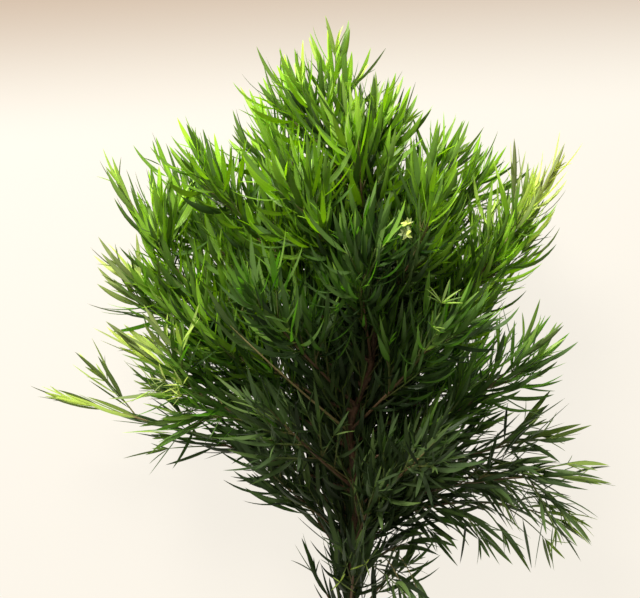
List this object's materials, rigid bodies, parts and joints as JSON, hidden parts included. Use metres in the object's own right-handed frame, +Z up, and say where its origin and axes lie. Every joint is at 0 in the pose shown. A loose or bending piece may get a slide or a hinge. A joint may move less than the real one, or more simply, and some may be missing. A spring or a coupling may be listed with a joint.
{
  "type": "podocarpus stem",
  "caption": "Cut woody stem of weeping podocarpus lying flat, forked all round into leafy branches of narrow, pointed, glossy green leaves.",
  "frame": {"origin": "on the surface that the stem lies on, under the middle of the bounding box", "axes": "+Y along the stem from its cut end to its top, +Z up from the surface, +X to the right seen from above"},
  "size_m": [0.586, 0.6488, 0.2241],
  "materials": {
    "bark": "rough brown bark",
    "leaf_light": "satin yellow-green leaf",
    "leaf_mid": "satin green leaf",
    "leaf_dark": "satin dark green leaf"
  },
  "bodies": {
    "root": {"woody_stem": "bark", "leafy_branch_right_drooping": "leaf_dark", "leafy_branch_right_low": "leaf_dark", "leafy_branch_right_mid": "leaf_dark", "leafy_branch_right_reaching": "leaf_mid", "leafy_branch_right_inner": "leaf_mid", "leafy_branch_right_high": "leaf_light", "leafy_branch_right_crown": "leaf_light", "leafy_branch_right_upper": "leaf_light", "leafy_branch_right_top": "leaf_light", "leafy_branch_left_reaching": "leaf_dark", "leafy_branch_left_low": "leaf_dark", "leafy_branch_left_mid": "leaf_mid", "leafy_branch_left_fan": "leaf_mid", "leafy_branch_left_inner": "leaf_mid", "leafy_branch_left_high": "leaf_light", "leafy_branch_left_crown": "leaf_light", "leafy_branch_left_upper": "leaf_light", "leafy_branch_left_top": "leaf_light", "leafy_branch_front_low_right": "leaf_dark", "leafy_branch_front_low_left": "leaf_dark", "leafy_branch_front_mid_right": "leaf_mid", "leafy_branch_front_mid_left": "leaf_mid", "leafy_branch_front_middle": "leaf_mid", "leafy_branch_front_right": "leaf_light", "leafy_branch_front_left": "leaf_light", "leafy_branch_front_top": "leaf_light", "leafy_branch_under_right": "leaf_mid", "leafy_branch_under_left": "leaf_mid", "leafy_branch_under_middle": "leaf_mid", "leafy_branch_under_low_right": "leaf_dark", "leafy_branch_under_low_left": "leaf_dark", "leafy_branch_under_top_right": "leaf_light", "leafy_branch_under_top_left": "leaf_light", "leafy_branch_top_right": "leaf_light", "leafy_branch_top_left": "leaf_light", "leafy_branch_low_right": "leaf_dark", "leafy_branch_low_left": "leaf_dark", "leafy_branch_neck_hanging": "leaf_dark", "leafy_branch_neck_left": "leaf_dark", "leafy_branch_neck_right": "leaf_dark", "leafy_branch_neck_front": "leaf_dark", "leafy_branch_neck_low_left": "leaf_dark", "leafy_branch_neck_low_right": "leaf_dark", "leafy_branch_neck_low_front": "leaf_dark", "leafy_branch_top_shoot": "leaf_light"}
  },
  "joints": []
}
